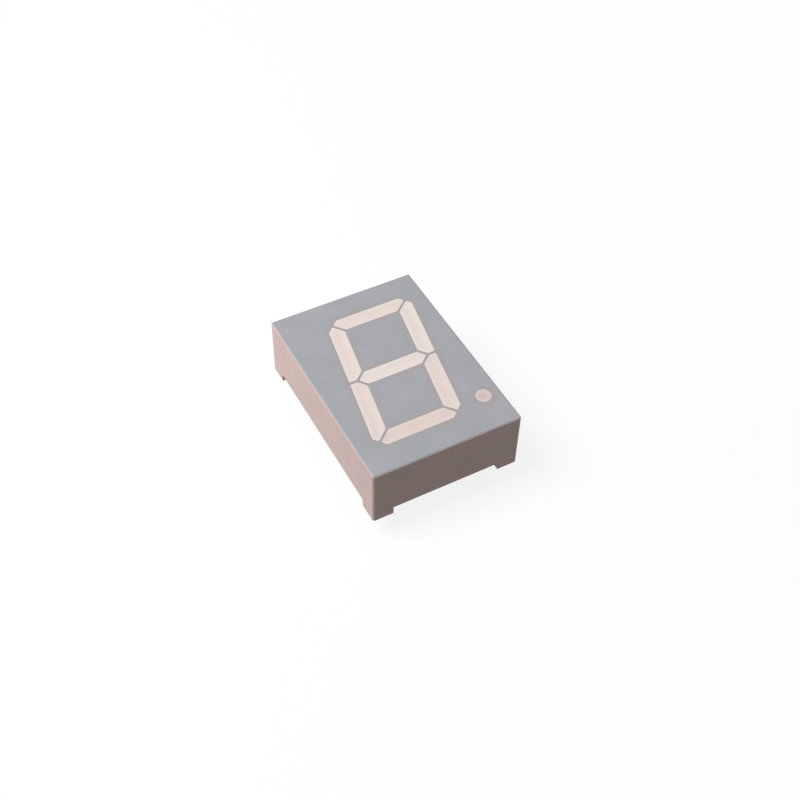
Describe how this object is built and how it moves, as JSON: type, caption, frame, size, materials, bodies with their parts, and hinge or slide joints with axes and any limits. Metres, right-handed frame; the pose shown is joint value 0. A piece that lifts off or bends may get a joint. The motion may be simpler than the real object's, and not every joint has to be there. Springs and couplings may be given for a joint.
{
  "type": "seven segment display",
  "caption": "Numeric display with slanted light segments, a decimal point, a grey face and a moulded housing on corner feet, with pins for a circuit board.",
  "frame": {"origin": "middle of the footprint, on the plane that the corner feet stand on, which is also the middle of the pin pattern", "axes": "+X to the digit's right, +Y to the digit's top along the long side, +Z out of the face"},
  "size_m": [0.024, 0.034, 0.014],
  "materials": {
    "housing_plastic": "moulded, with a grey printed face",
    "segment_resin": "diffused cream resin",
    "point_resin": "diffused resin",
    "board_laminate": "glass fibre laminate",
    "chip": "semiconductor crystal",
    "bond_wire": "gold wire",
    "tinned_pin": "tinned",
    "solder": "soft solder",
    "potting_resin": "cast epoxy resin"
  },
  "bodies": {
    "root": {"housing": "housing_plastic", "segment_a": "segment_resin", "segment_b": "segment_resin", "segment_c": "segment_resin", "segment_d": "segment_resin", "segment_e": "segment_resin", "segment_f": "segment_resin", "segment_g": "segment_resin", "decimal_point": "point_resin", "circuit_board": "board_laminate", "chips_a": "chip", "chips_b": "chip", "chips_c": "chip", "chips_d": "chip", "chips_e": "chip", "chips_f": "chip", "chips_g": "chip", "chip_dp": "chip", "wires_a": "bond_wire", "wires_b": "bond_wire", "wires_c": "bond_wire", "wires_d": "bond_wire", "wires_e": "bond_wire", "wires_f": "bond_wire", "wires_g": "bond_wire", "wire_dp": "bond_wire", "pin_1": "tinned_pin", "pin_2": "tinned_pin", "pin_3": "tinned_pin", "pin_4": "tinned_pin", "pin_5": "tinned_pin", "pin_6": "tinned_pin", "pin_7": "tinned_pin", "pin_8": "tinned_pin", "pin_9": "tinned_pin", "pin_10": "tinned_pin", "solder_1": "solder", "solder_2": "solder", "solder_3": "solder", "solder_4": "solder", "solder_5": "solder", "solder_6": "solder", "solder_7": "solder", "solder_8": "solder", "solder_9": "solder", "solder_10": "solder", "potting_resin": "potting_resin"}
  },
  "joints": []
}
